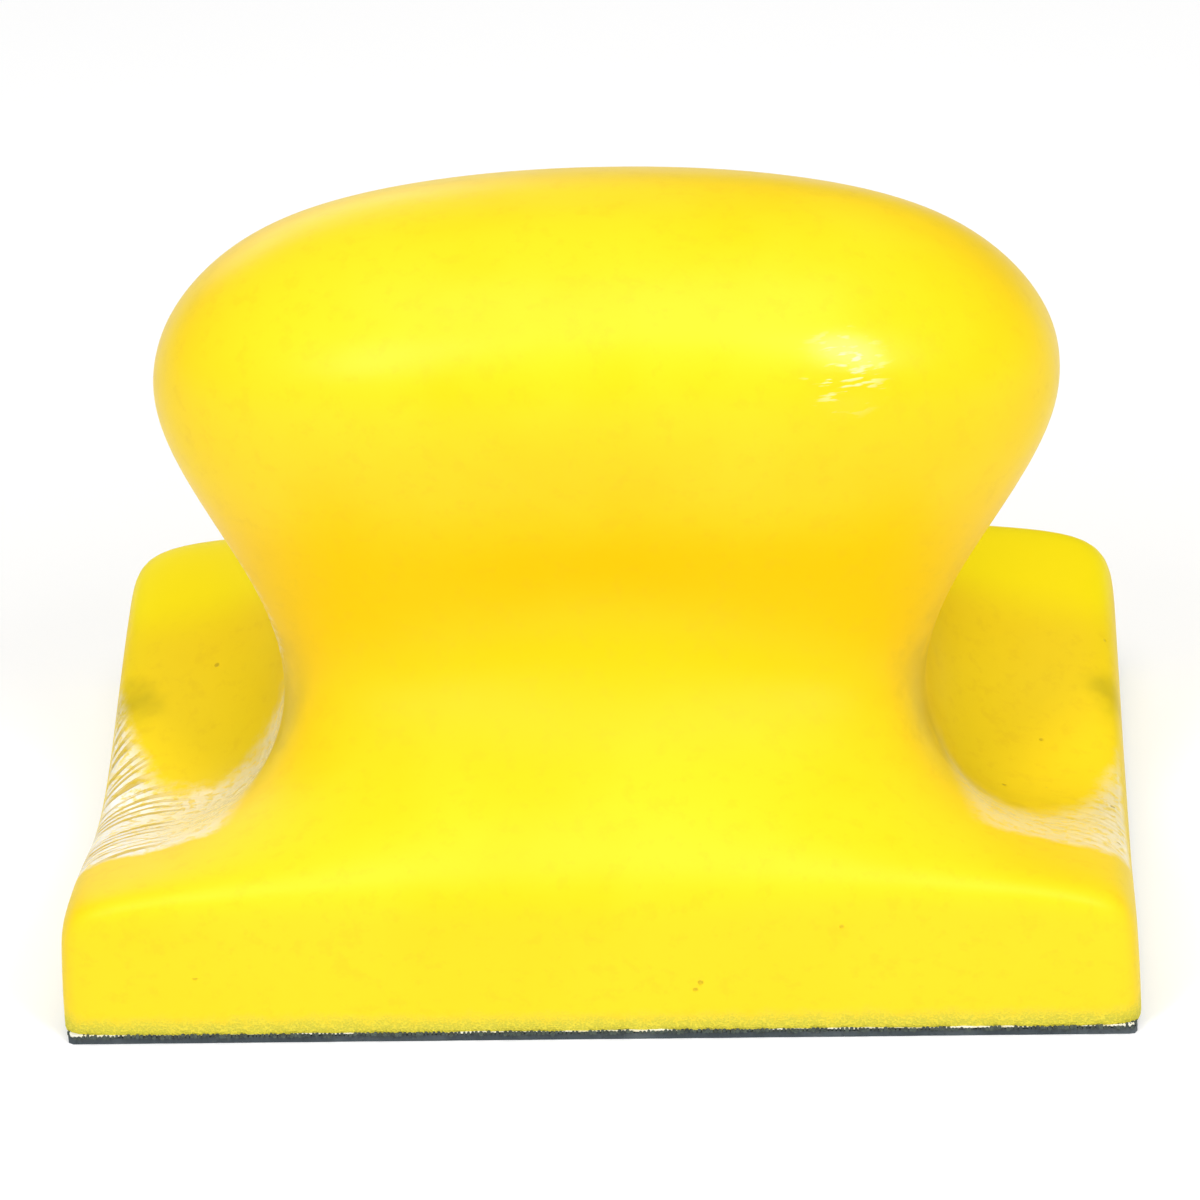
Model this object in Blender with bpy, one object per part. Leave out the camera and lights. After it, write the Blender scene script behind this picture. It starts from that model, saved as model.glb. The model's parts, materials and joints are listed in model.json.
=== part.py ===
"""Palm grout float: a one-piece moulded foam grip and block on a thin bonded rubber sole.

Metres, +Z up. The sole lies on z = 0, the long side runs along X, and the block is centred on the origin.
"""

import math

import bmesh
import bpy
import numpy as np

# The block's long side, which every size of the moulded body follows.
BASE_LENGTH = 0.127

# The sole's layers from the floor up, each with the same gap to the next.
RUBBER_THICKNESS = 0.0008
CLOTH_THICKNESS = 0.00025
ADHESIVE_THICKNESS = 0.0002
JOINT_GAP = 0.0003

# The sole's outline. The cloth and the adhesive stop just short of the rubber's edge.
SOLE_LENGTH = 0.1284
SOLE_DEPTH = 0.0860
SOLE_CORNER_RADIUS = 0.0010
CLOTH_INSET = 0.0003
ADHESIVE_INSET = 0.0006

# How finely the moulded body is built: points round each ring, and rings between two levels.
RING_POINTS = 64
RINGS_PER_LEVEL = 3

# The moulded body's levels from the underside to the top of the grip. Each is a rounded oblong ring:
# half length, half depth, squareness, and its height at the ends, at the corners and at the sides.
# Where the three heights differ, the ring dips: the low ends of the block are its finger scoops.
# All are in base lengths, and the heights start from the body's own underside.
BODY_LEVELS = (
    (0.5060, 0.3385, 40.0, 0.0000, 0.0000, 0.0000),
    (0.5047, 0.3425, 40.0, 0.0198, 0.0395, 0.0395),
    (0.5025, 0.3455, 36.0, 0.0346, 0.0801, 0.0791),
    (0.5003, 0.3470, 30.0, 0.0484, 0.1176, 0.1127),
    (0.4838, 0.3440, 24.0, 0.0593, 0.1414, 0.1433),
    (0.4430, 0.3262, 17.0, 0.0633, 0.1503, 0.1740),
    (0.3866, 0.2746, 9.0, 0.0662, 0.1542, 0.2026),
    (0.3383, 0.2076, 5.0, 0.0909, 0.1710, 0.2274),
    (0.3100, 0.1612, 4.0, 0.1503, 0.2115, 0.2728),
    (0.3060, 0.1396, 3.4, 0.2204, 0.2639, 0.3183),
    (0.3334, 0.1440, 3.0, 0.3124, 0.3242, 0.3657),
    (0.3914, 0.1681, 2.6, 0.4102, 0.4053, 0.4231),
    (0.4284, 0.1914, 2.4, 0.4854, 0.4804, 0.4893),
    (0.4266, 0.2039, 2.3, 0.5476, 0.5496, 0.5536),
    (0.3841, 0.1885, 2.3, 0.6069, 0.6119, 0.6208),
    (0.3107, 0.1382, 2.3, 0.6574, 0.6544, 0.6593),
    (0.2021, 0.0805, 2.3, 0.6835, 0.6820, 0.6810),
    (0.0859, 0.0350, 2.3, 0.6915, 0.6915, 0.6915),
)

# The grip leans to +X by this much at its widest, in base lengths. The lean grows between two heights.
GRIP_LEAN = 0.0125
LEAN_FROM = 0.15
LEAN_TO = 0.50


def clear_scene():
    for obj in list(bpy.data.objects):
        bpy.data.objects.remove(obj, do_unlink=True)


def finish_material(name, color, roughness):
    """A plain Principled finish, the same all over the piece."""
    material = bpy.data.materials.new(name)
    material.use_nodes = True
    shader = material.node_tree.nodes["Principled BSDF"]
    shader.inputs["Base Color"].default_value = (*color, 1.0)
    shader.inputs["Roughness"].default_value = roughness
    shader.inputs["Metallic"].default_value = 0.0
    return material


def add_piece(name, shape, material, smooth_angle=None):
    """Turn a bmesh into a named object with its own material and outward faces."""
    bmesh.ops.recalc_face_normals(shape, faces=shape.faces)
    mesh = bpy.data.meshes.new(name)
    shape.to_mesh(mesh)
    shape.free()
    mesh.materials.append(material)
    if smooth_angle is not None:
        mesh.shade_smooth()
        mesh.set_sharp_from_angle(angle=math.radians(smooth_angle))
    obj = bpy.data.objects.new(name, mesh)
    bpy.context.scene.collection.objects.link(obj)
    return obj


def fill_between(shape, lower, upper):
    """Join two rings of the same number of points with a band of faces."""
    count = len(lower)
    for i in range(count):
        j = (i + 1) % count
        shape.faces.new((lower[i], lower[j], upper[j], upper[i]))


def oblong_outline(length, depth, radius, steps=6):
    """The corners-rounded oblong that the sole's layers are cut to, as (x, y) points."""
    points = []
    for quarter in range(4):
        x_side = 1 if quarter in (0, 3) else -1
        y_side = 1 if quarter in (0, 1) else -1
        for step in range(steps + 1):
            angle = math.pi / 2 * (quarter + step / steps)
            x = x_side * (length / 2 - radius) + radius * math.cos(angle)
            y = y_side * (depth / 2 - radius) + radius * math.sin(angle)
            points.append((x, y))
    return points


def layer_shape(outline, low, high):
    """A flat sheet of even thickness, cut to an outline."""
    shape = bmesh.new()
    bottom = [shape.verts.new((x, y, low)) for x, y in outline]
    top = [shape.verts.new((x, y, high)) for x, y in outline]
    fill_between(shape, bottom, top)
    shape.faces.new(bottom)
    shape.faces.new(top)
    return shape


def blended_levels():
    """Rings between the levels, on the smooth curve that a uniform cubic spline draws through them."""
    levels = np.array(BODY_LEVELS)
    levels[:, 2] = 1.0 / levels[:, 2]
    crown = levels[-1].copy()
    crown[:2] = 0.0
    control = np.vstack([levels[0], levels[0], levels, crown, crown])
    rows = []
    for i in range(1, len(control) - 2):
        for step in range(RINGS_PER_LEVEL):
            t = step / RINGS_PER_LEVEL
            weights = np.array(
                [(1 - t) ** 3, 3 * t**3 - 6 * t**2 + 4, 1 + 3 * t + 3 * t**2 - 3 * t**3, t**3]
            )
            rows.append(weights / 6 @ control[i - 1 : i + 3])
    return rows


def ring_directions():
    """Directions round a ring, packed closer where the block's corners are."""
    turn = np.arange(RING_POINTS) / RING_POINTS * 4
    quarter = np.floor(turn)
    across = 2 * (turn - quarter) - 1
    eased = np.sign(across) * (0.45 * np.abs(across) + 0.55 * np.abs(across) ** 1.6)
    return (quarter + (eased + 1) / 2) * math.pi / 2


def ring_points(row, directions):
    """One ring: an oblong of the row's squareness whose height swings between ends, corners and sides."""
    half_length, half_depth, softness, end, corner, side = row
    cosine = np.cos(directions)
    sine = np.sin(directions)
    power = 1.0 / softness
    reach = (np.abs(cosine) ** power + np.abs(sine) ** power) ** -softness
    middle = (end + side) / 2
    height = (middle + corner) / 2
    height = height + (end - side) / 2 * np.cos(2 * directions)
    height = height + (middle - corner) / 2 * np.cos(4 * directions)
    rise = np.clip((height - LEAN_FROM) / (LEAN_TO - LEAN_FROM), 0.0, 1.0)
    lean = GRIP_LEAN * rise * rise * (3 - 2 * rise)
    return np.stack([half_length * reach * cosine + lean, half_depth * reach * sine, height], axis=1)


def body_shape(underside):
    """The moulded grip and block: a flat underside, the stacked rings, and a crown at the top."""
    shape = bmesh.new()
    directions = ring_directions()
    rows = blended_levels()
    rings = []
    for row in rows:
        points = ring_points(row, directions) * BASE_LENGTH + np.array([0.0, 0.0, underside])
        rings.append([shape.verts.new(point) for point in points])
    for lower, upper in zip(rings, rings[1:]):
        fill_between(shape, lower, upper)
    shape.faces.new(rings[0])
    crown_height = float(np.mean([vert.co.z for vert in rings[-1]])) + 0.00002
    crown = shape.verts.new((GRIP_LEAN * BASE_LENGTH, 0.0, crown_height))
    last = rings[-1]
    for i, vert in enumerate(last):
        shape.faces.new((vert, last[(i + 1) % len(last)], crown))
    return shape


def build():
    clear_scene()

    rubber_top = RUBBER_THICKNESS
    cloth_low = rubber_top + JOINT_GAP
    cloth_top = cloth_low + CLOTH_THICKNESS
    adhesive_low = cloth_top + JOINT_GAP
    adhesive_top = adhesive_low + ADHESIVE_THICKNESS
    body_low = adhesive_top + JOINT_GAP

    outline = oblong_outline(SOLE_LENGTH, SOLE_DEPTH, SOLE_CORNER_RADIUS)
    rubber = finish_material("sole_rubber", (0.052, 0.062, 0.068), 0.85)
    add_piece("rubber_sole", layer_shape(outline, 0.0, rubber_top), rubber)

    outline = oblong_outline(
        SOLE_LENGTH - 2 * CLOTH_INSET, SOLE_DEPTH - 2 * CLOTH_INSET, SOLE_CORNER_RADIUS
    )
    cloth = finish_material("backing_cloth", (0.035, 0.055, 0.045), 0.95)
    add_piece("sole_backing_cloth", layer_shape(outline, cloth_low, cloth_top), cloth)

    outline = oblong_outline(
        SOLE_LENGTH - 2 * ADHESIVE_INSET, SOLE_DEPTH - 2 * ADHESIVE_INSET, SOLE_CORNER_RADIUS
    )
    adhesive = finish_material("dried_adhesive", (0.80, 0.79, 0.70), 0.5)
    add_piece("adhesive_film", layer_shape(outline, adhesive_low, adhesive_top), adhesive)

    foam = finish_material("yellow_foam_skin", (0.95, 0.68, 0.03), 0.42)
    add_piece("moulded_body", body_shape(body_low), foam, smooth_angle=60)


build()
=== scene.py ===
# %% [markdown]
# # A palm grout float
# A grout float rubs grout into the joints between tiles and wipes the excess away. This one is the small
# kind that fills one hand: a yellow block of moulded polyurethane foam whose top narrows to a neck and
# swells again into a grip, with a thin dark rubber sole glued underneath. Everything is in metres.
#
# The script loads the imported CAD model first, because every piece below takes its place and size from it.

import json
import math

import bmesh
import bpy
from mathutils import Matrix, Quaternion, Vector

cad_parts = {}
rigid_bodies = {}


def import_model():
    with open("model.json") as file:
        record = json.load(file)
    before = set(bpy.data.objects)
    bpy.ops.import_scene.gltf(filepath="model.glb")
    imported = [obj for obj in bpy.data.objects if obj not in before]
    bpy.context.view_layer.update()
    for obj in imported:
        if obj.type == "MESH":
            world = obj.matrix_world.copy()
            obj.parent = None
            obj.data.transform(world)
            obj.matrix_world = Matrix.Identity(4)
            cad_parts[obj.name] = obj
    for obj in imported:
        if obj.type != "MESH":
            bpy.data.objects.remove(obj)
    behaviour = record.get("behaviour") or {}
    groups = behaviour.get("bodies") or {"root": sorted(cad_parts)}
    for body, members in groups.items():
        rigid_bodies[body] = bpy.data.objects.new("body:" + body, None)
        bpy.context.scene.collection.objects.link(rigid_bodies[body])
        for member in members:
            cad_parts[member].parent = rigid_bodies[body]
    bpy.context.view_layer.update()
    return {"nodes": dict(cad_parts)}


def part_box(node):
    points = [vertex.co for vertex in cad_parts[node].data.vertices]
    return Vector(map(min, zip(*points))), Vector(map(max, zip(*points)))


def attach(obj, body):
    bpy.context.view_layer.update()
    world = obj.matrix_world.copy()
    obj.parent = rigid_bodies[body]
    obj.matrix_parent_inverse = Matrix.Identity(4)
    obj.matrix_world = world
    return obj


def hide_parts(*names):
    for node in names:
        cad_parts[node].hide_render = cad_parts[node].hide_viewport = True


for obj in list(bpy.data.objects):
    bpy.data.objects.remove(obj, do_unlink=True)
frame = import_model()
body_low, body_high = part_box("moulded_body")
rubber_low, rubber_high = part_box("rubber_sole")
MM = 0.001
print("nodes in the frame:", sorted(frame["nodes"]))

# %% [markdown]
# ## Helpers for node trees
# Both the shapes and the finishes of this float are made with nodes. Two short helpers keep those trees
# readable: one adds a node and sets its values, the other chains a piece of arithmetic.


# %% Node helpers
def add_node(tree, kind, settings=None, **links):
    """Add a node, set its properties, then link or set its inputs by name."""
    node = tree.nodes.new(kind)
    for name, value in (settings or {}).items():
        setattr(node, name, value)
    for name, value in links.items():
        connect(tree, node.inputs[name.replace("_", " ")], value)
    return node


def connect(tree, socket, value):
    """Link a socket to another socket, or give it a plain value."""
    if isinstance(value, bpy.types.NodeSocket):
        tree.links.new(value, socket)
    else:
        socket.default_value = value


class Sums:
    """Arithmetic on sockets: each call adds one Math node and returns its result."""

    def __init__(self, tree):
        self.tree = tree

    def __getattr__(self, operation):
        def work(*values):
            node = self.tree.nodes.new("ShaderNodeMath")
            node.operation = operation.upper()
            for socket, value in zip(node.inputs, values):
                connect(self.tree, socket, value)
            return node.outputs[0]

        return work

    def smooth(self, value, low, high):
        """0 below low, 1 above high, and an S-shaped rise between them."""
        node = self.tree.nodes.new("ShaderNodeMapRange")
        node.interpolation_type = "SMOOTHSTEP"
        for name, number in (("Value", value), ("From Min", low), ("From Max", high)):
            connect(self.tree, node.inputs[name], number)
        return node.outputs["Result"]


print("node helpers ready")

# %% [markdown]
# ## The moulded body: its levels
# On the real float the grip, the neck, the block and the finger scoops are one casting of foam with a
# smooth skin. It could be sculpted, or cut from a block with curved cutters. But it follows a rule: seen
# from above, every level of it is a rounded oblong, from the square-cornered block to the egg-shaped grip.
# So the body is lofted through levels. Each level says how long and deep its oblong is, how round its
# corners are, and how high it runs at the ends, corners and sides. A ring that is lower at its ends than
# at its corners makes a finger scoop. The grip leans a millimetre and a half to the right, as soft castings
# do: the lean sets in over the neck and is full at the grip. Every length is a part of the block's length.

# %% The levels, as a line of points that carry the numbers
LEVEL_FIELDS = ("half_length", "half_depth", "roundness", "end_height", "corner_height", "side_height")
BODY_LEVELS = (
    (0.5060, 0.3385, 1 / 40, 0.0000, 0.0000, 0.0000),
    (0.5047, 0.3425, 1 / 40, 0.0198, 0.0395, 0.0395),
    (0.5025, 0.3455, 1 / 36, 0.0346, 0.0801, 0.0791),
    (0.5003, 0.3470, 1 / 30, 0.0484, 0.1176, 0.1127),
    (0.4838, 0.3440, 1 / 24, 0.0593, 0.1414, 0.1433),
    (0.4430, 0.3262, 1 / 17, 0.0633, 0.1503, 0.1740),
    (0.3866, 0.2746, 1 / 9, 0.0662, 0.1542, 0.2026),
    (0.3383, 0.2076, 1 / 5, 0.0909, 0.1710, 0.2274),
    (0.3100, 0.1612, 1 / 4, 0.1503, 0.2115, 0.2728),
    (0.3060, 0.1396, 1 / 3.4, 0.2204, 0.2639, 0.3183),
    (0.3334, 0.1440, 1 / 3, 0.3124, 0.3242, 0.3657),
    (0.3914, 0.1681, 1 / 2.6, 0.4102, 0.4053, 0.4231),
    (0.4284, 0.1914, 1 / 2.4, 0.4854, 0.4804, 0.4893),
    (0.4266, 0.2039, 1 / 2.3, 0.5476, 0.5496, 0.5536),
    (0.3841, 0.1885, 1 / 2.3, 0.6069, 0.6119, 0.6208),
    (0.3107, 0.1382, 1 / 2.3, 0.6574, 0.6544, 0.6593),
    (0.2021, 0.0805, 1 / 2.3, 0.6835, 0.6820, 0.6810),
    (0.0859, 0.0350, 1 / 2.3, 0.6915, 0.6915, 0.6915),
)
BOTTOM = BODY_LEVELS[0]
CROWN = (0.0, 0.0, 1 / 2.3, 0.6915, 0.6915, 0.6915)
GRIP_LEAN = 0.0125
LEAN_FROM = 0.15
LEAN_TO = 0.50


def line_of_points(name, rows, fields):
    """A row of joined points, one for each level, with the level's numbers stored on it."""
    mesh = bpy.data.meshes.new(name)
    places = [(float(index), 0.0, 0.0) for index in range(len(rows))]
    mesh.from_pydata(places, [(i, i + 1) for i in range(len(rows) - 1)], [])
    for column, field in enumerate(fields):
        attribute = mesh.attributes.new(field, "FLOAT", "POINT")
        attribute.data.foreach_set("value", [row[column] for row in rows])
    obj = bpy.data.objects.new(name, mesh)
    bpy.context.scene.collection.objects.link(obj)
    return obj


level_rows = (BOTTOM, BOTTOM) + BODY_LEVELS + (CROWN, CROWN, CROWN)
body = line_of_points("moulded_foam_body", level_rows, LEVEL_FIELDS)
print("levels with the repeated first and last:", len(level_rows))

# %% [markdown]
# ## The moulded body: the loft
# Geometry Nodes turn the line of levels into the body. The line becomes a NURBS curve, and Blender blends
# the stored numbers along it as smoothly as it blends places, so the curve's points are the numbers of a
# few hundred rings. A grid is then wrapped round: one direction of it picks the ring, the other picks the
# direction round the ring. The points crowd towards the corners, where the block turns sharply.


# %% The loft's node tree
BODY_POINTS_ROUND = 256
BODY_RINGS_PER_LEVEL = 12
CROWDING = 0.55
CROWDING_POWER = 1.6


def ring_place(tree, turn, ring, levels, length):
    """The place of a point: turn is 0 to 1 round the ring, ring is the ring's number."""
    sums = Sums(tree)

    def field(name):
        named = add_node(tree, "GeometryNodeInputNamedAttribute", {"data_type": "FLOAT"}, Name=name)
        node = add_node(tree, "GeometryNodeSampleIndex", {"data_type": "FLOAT"}, Index=ring)
        tree.links.new(levels, node.inputs["Geometry"])
        tree.links.new(named.outputs["Attribute"], node.inputs["Value"])
        return node.outputs["Value"]

    quarters = sums.multiply(turn, 4.0)
    quarter = sums.floor(quarters)
    across = sums.subtract(sums.multiply(sums.subtract(quarters, quarter), 2.0), 1.0)
    size = sums.absolute(across)
    crowded = sums.multiply_add(
        sums.power(size, CROWDING_POWER), CROWDING, sums.multiply(size, 1.0 - CROWDING)
    )
    eased = sums.multiply(crowded, sums.sign(across))
    angle = sums.multiply(sums.add(quarter, sums.multiply_add(eased, 0.5, 0.5)), math.pi / 2)
    cosine = sums.cosine(angle)
    sine = sums.sine(angle)
    roundness = field("roundness")
    power = sums.divide(1.0, roundness)
    spread = sums.add(
        sums.power(sums.absolute(cosine), power), sums.power(sums.absolute(sine), power)
    )
    reach = sums.power(spread, sums.multiply(roundness, -1.0))
    end, corner, side = (field(name) for name in LEVEL_FIELDS[3:])
    middle = sums.multiply(sums.add(end, side), 0.5)
    height = sums.multiply(sums.add(middle, corner), 0.5)
    twice = sums.cosine(sums.multiply(angle, 2.0))
    fourfold = sums.cosine(sums.multiply(angle, 4.0))
    height = sums.multiply_add(sums.multiply(sums.subtract(end, side), 0.5), twice, height)
    height = sums.multiply_add(sums.multiply(sums.subtract(middle, corner), 0.5), fourfold, height)
    lean = sums.multiply(sums.smooth(height, LEAN_FROM, LEAN_TO), GRIP_LEAN)
    x = sums.multiply_add(sums.multiply(field("half_length"), reach), cosine, lean)
    y = sums.multiply(sums.multiply(field("half_depth"), reach), sine)
    place = add_node(tree, "ShaderNodeCombineXYZ", X=x, Y=y, Z=height)
    scaled = add_node(tree, "ShaderNodeVectorMath", {"operation": "SCALE"}, Vector=place.outputs[0])
    connect(tree, scaled.inputs["Scale"], length)
    return scaled.outputs["Vector"]


def new_tree(name, inputs):
    """An empty geometry tree with a mesh in and out, and the named inputs with their defaults."""
    tree = bpy.data.node_groups.new(name, "GeometryNodeTree")
    face = tree.interface
    face.new_socket("Geometry", in_out="INPUT", socket_type="NodeSocketGeometry")
    for label, kind, value in inputs:
        face.new_socket(label, in_out="INPUT", socket_type=kind).default_value = value
    face.new_socket("Geometry", in_out="OUTPUT", socket_type="NodeSocketGeometry")
    start = tree.nodes.new("NodeGroupInput")
    end = tree.nodes.new("NodeGroupOutput")
    return tree, start.outputs, end.inputs


def end_tree(tree, geometry, result, material):
    """The last two nodes of every tree here: real geometry, in one material."""
    real = add_node(tree, "GeometryNodeRealizeInstances", Geometry=geometry)
    dressed = add_node(tree, "GeometryNodeSetMaterial", Geometry=real.outputs[0], Material=material)
    tree.links.new(dressed.outputs[0], result)


SEAM_GAP = 0.000004
POINT_GAP = 0.000001


def loft_tree(material):
    tree, given, result = new_tree(
        "loft through levels",
        (
            ("Points Round", "NodeSocketInt", BODY_POINTS_ROUND),
            ("Rings Per Level", "NodeSocketInt", BODY_RINGS_PER_LEVEL),
            ("Block Length", "NodeSocketFloat", 1.0),
        ),
    )
    sums = Sums(tree)
    curve = add_node(tree, "GeometryNodeMeshToCurve", Mesh=given["Geometry"])
    nurbs = add_node(
        tree, "GeometryNodeCurveSplineType", {"spline_type": "NURBS"}, Curve=curve.outputs[0]
    )
    fine = add_node(
        tree,
        "GeometryNodeSetSplineResolution",
        Geometry=nurbs.outputs[0],
        Resolution=given["Rings Per Level"],
    )
    resampled = add_node(tree, "GeometryNodeResampleCurve", {"mode": "EVALUATED"}, Curve=fine.outputs[0])
    levels = resampled.outputs[0]
    size = add_node(tree, "GeometryNodeAttributeDomainSize", {"component": "CURVE"}, Geometry=levels)
    rings = size.outputs["Point Count"]
    round_count = given["Points Round"]
    grid = add_node(tree, "GeometryNodeMeshGrid", Size_X=1.0, Size_Y=1.0)
    connect(tree, grid.inputs["Vertices X"], sums.add(round_count, 1.0))
    connect(tree, grid.inputs["Vertices Y"], rings)
    flat_place = tree.nodes.new("GeometryNodeInputPosition").outputs[0]
    spot = add_node(tree, "ShaderNodeSeparateXYZ", Vector=flat_place)
    turn = sums.add(spot.outputs["X"], 0.5)
    ring = sums.round(sums.multiply(sums.add(spot.outputs["Y"], 0.5), sums.subtract(rings, 1.0)))
    place = ring_place(tree, turn, ring, levels, given["Block Length"])
    wall = add_node(tree, "GeometryNodeSetPosition", Geometry=grid.outputs["Mesh"], Position=place)
    disc = add_node(tree, "GeometryNodeMeshCircle", {"fill_type": "NGON"}, Vertices=round_count)
    number = tree.nodes.new("GeometryNodeInputIndex").outputs[0]
    place = ring_place(tree, sums.divide(number, round_count), 0, levels, given["Block Length"])
    base = add_node(tree, "GeometryNodeSetPosition", Geometry=disc.outputs["Mesh"], Position=place)
    joined = tree.nodes.new("GeometryNodeJoinGeometry")
    for part in (base, wall):
        tree.links.new(part.outputs[0], joined.inputs[0])
    closed = add_node(
        tree, "GeometryNodeMergeByDistance", Geometry=joined.outputs[0], Distance=SEAM_GAP
    )
    end_tree(tree, closed.outputs[0], result["Geometry"], material)
    return tree


def run_tree(obj, tree, **values):
    """Put a tree on an object, set its inputs, and swap the object's mesh for the result."""
    modifier = obj.modifiers.new(tree.name, "NODES")
    modifier.node_group = tree
    for item in tree.interface.items_tree:
        label = item.name.replace(" ", "_")
        if item.in_out == "INPUT" and label in values:
            modifier[item.identifier] = values[label]
    bpy.context.view_layer.update()
    graph = bpy.context.evaluated_depsgraph_get()
    made = bpy.data.meshes.new_from_object(obj.evaluated_get(graph))
    obj.modifiers.remove(modifier)
    old = obj.data
    obj.data = made
    bpy.data.meshes.remove(old)
    return obj


def face_outwards(obj):
    """Merge doubled points, turn every face outwards and shade the whole piece smooth."""
    shape = bmesh.new()
    shape.from_mesh(obj.data)
    bmesh.ops.remove_doubles(shape, verts=shape.verts, dist=POINT_GAP)
    bmesh.ops.recalc_face_normals(shape, faces=shape.faces)
    open_edges = sum(1 for edge in shape.edges if len(edge.link_faces) != 2)
    shape.to_mesh(obj.data)
    shape.free()
    obj.data.shade_smooth()
    return open_edges


foam_skin = bpy.data.materials.new("yellow_foam_skin")
body = run_tree(
    body,
    loft_tree(foam_skin),
    Points_Round=BODY_POINTS_ROUND,
    Rings_Per_Level=BODY_RINGS_PER_LEVEL,
    Block_Length=1.0,
)
print("points in the loft:", len(body.data.vertices), "open edges:", face_outwards(body))

# %% [markdown]
# The loft came out in parts of the block's length. It is now stretched to the CAD body's own box, with its
# underside let down onto the cloth: the CAD keeps a hair's gap there, and the real pieces touch.


# %% Fit the body to its place
def fit_to_box(obj, low, high):
    """Move and stretch a mesh so that it fills the box from low to high."""
    points = [vert.co.copy() for vert in obj.data.vertices]
    least = Vector([min(p[axis] for p in points) for axis in range(3)])
    most = Vector([max(p[axis] for p in points) for axis in range(3)])
    for vert in obj.data.vertices:
        for axis in range(3):
            part = (vert.co[axis] - least[axis]) / (most[axis] - least[axis])
            vert.co[axis] = low[axis] + part * (high[axis] - low[axis])
    obj.data.update()


CLOTH_HEIGHT = 0.40 * MM
CLOTH_TOP = rubber_high.z + CLOTH_HEIGHT
fit_to_box(body, Vector((body_low.x, body_low.y, CLOTH_TOP)), body_high)
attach(body, "root")
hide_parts("moulded_body")
print("body height in mm:", round((body_high.z - CLOTH_TOP) / MM, 2))

# %% [markdown]
# ## The finish of the skin
# Foam that is poured into a polished mould keeps a closed skin: satin, with a very fine orange peel and a
# few pinholes where bubbles reached the wall. The finish is made from patterns in the piece's own
# coordinates, so nothing slides over the surface when the camera moves. The helpers come first: each adds
# one kind of pattern, or blends two colours by it.


# %% Pattern helpers
def start_material(material):
    """Clear a material and give back its tree, its shader and its object coordinates."""
    material.use_nodes = True
    tree = material.node_tree
    tree.nodes.clear()
    shader = tree.nodes.new("ShaderNodeBsdfPrincipled")
    output = tree.nodes.new("ShaderNodeOutputMaterial")
    tree.links.new(shader.outputs[0], output.inputs["Surface"])
    place = tree.nodes.new("ShaderNodeTexCoord").outputs["Object"]
    return tree, shader, place


def stretched(tree, place, scale):
    """Object coordinates multiplied by a scale along each axis."""
    node = add_node(tree, "ShaderNodeMapping", Vector=place)
    node.inputs["Scale"].default_value = scale
    return node.outputs["Vector"]


def noise(tree, place, scale, detail=2.0, roughness=0.5):
    """Cloudy noise about 0.5. The scale is in blobs to the metre."""
    node = add_node(
        tree, "ShaderNodeTexNoise", Vector=place, Scale=scale, Detail=detail, Roughness=roughness
    )
    return node.outputs["Fac"]


def mix_colors(tree, amount, first, second):
    """Blend two colours by an amount."""
    node = tree.nodes.new("ShaderNodeMix")
    node.data_type = "RGBA"
    connect(tree, node.inputs[0], amount)
    for socket, color in ((node.inputs[6], first), (node.inputs[7], second)):
        if isinstance(color, tuple):
            color = (*color, 1.0)
        connect(tree, socket, color)
    return node.outputs[2]


def bump(tree, shader, height_mm):
    """Tilt the shading by a height given in millimetres."""
    node = add_node(tree, "ShaderNodeBump", Strength=1.0, Distance=MM, Height=height_mm)
    tree.links.new(node.outputs["Normal"], shader.inputs["Normal"])
    tree.links.new(node.outputs["Normal"], shader.inputs["Coat Normal"])


print("pattern helpers ready")

# %% [markdown]
# The skin isn't the same all over. The bottom edge was trimmed flat for the sole, which cut the foam's cells
# open, and the open cells are darkened as painted shade. In the front half of each scoop the skin dragged as
# the block left the mould, so it is paler and glossier there, with curved grooves that start at the rim; the
# near-white there is mostly a painted reflection of the bright floor and the back-left light. Each of these
# is a mask, 0 to 1, worked out from where a point lies, with a little noise to make its limit ragged.


# %% Masks for the trimmed edge and the worn scoops
def band(sums, value, low, high, soft):
    """1 between low and high, falling smoothly to 0 over a soft margin outside them."""
    rise = sums.smooth(value, low - soft, low)
    fall = sums.smooth(value, high, high + soft)
    return sums.multiply(rise, sums.subtract(1.0, fall))


def trimmed_edge(tree, sums, place, z):
    """The open-celled strip along the bottom, with a ragged upper limit."""
    ragged = sums.multiply_add(noise(tree, place, 420.0, 3.0), 2.4 * MM, z)
    return sums.subtract(1.0, sums.smooth(ragged, 2.9 * MM, 6.0 * MM))


SCOOP_MIDDLE = 52 * MM
OUTER_CURVE = 170.0
INNER_CURVE = 75.0
REAR_LIMIT_LEFT = -0.5 * MM
REAR_LIMIT_RIGHT = -12.5 * MM
# the right end's share of the sheen: real gloss and painted reflection
RIGHT_END_WEAR_AND_SHEEN = 0.50


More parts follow.
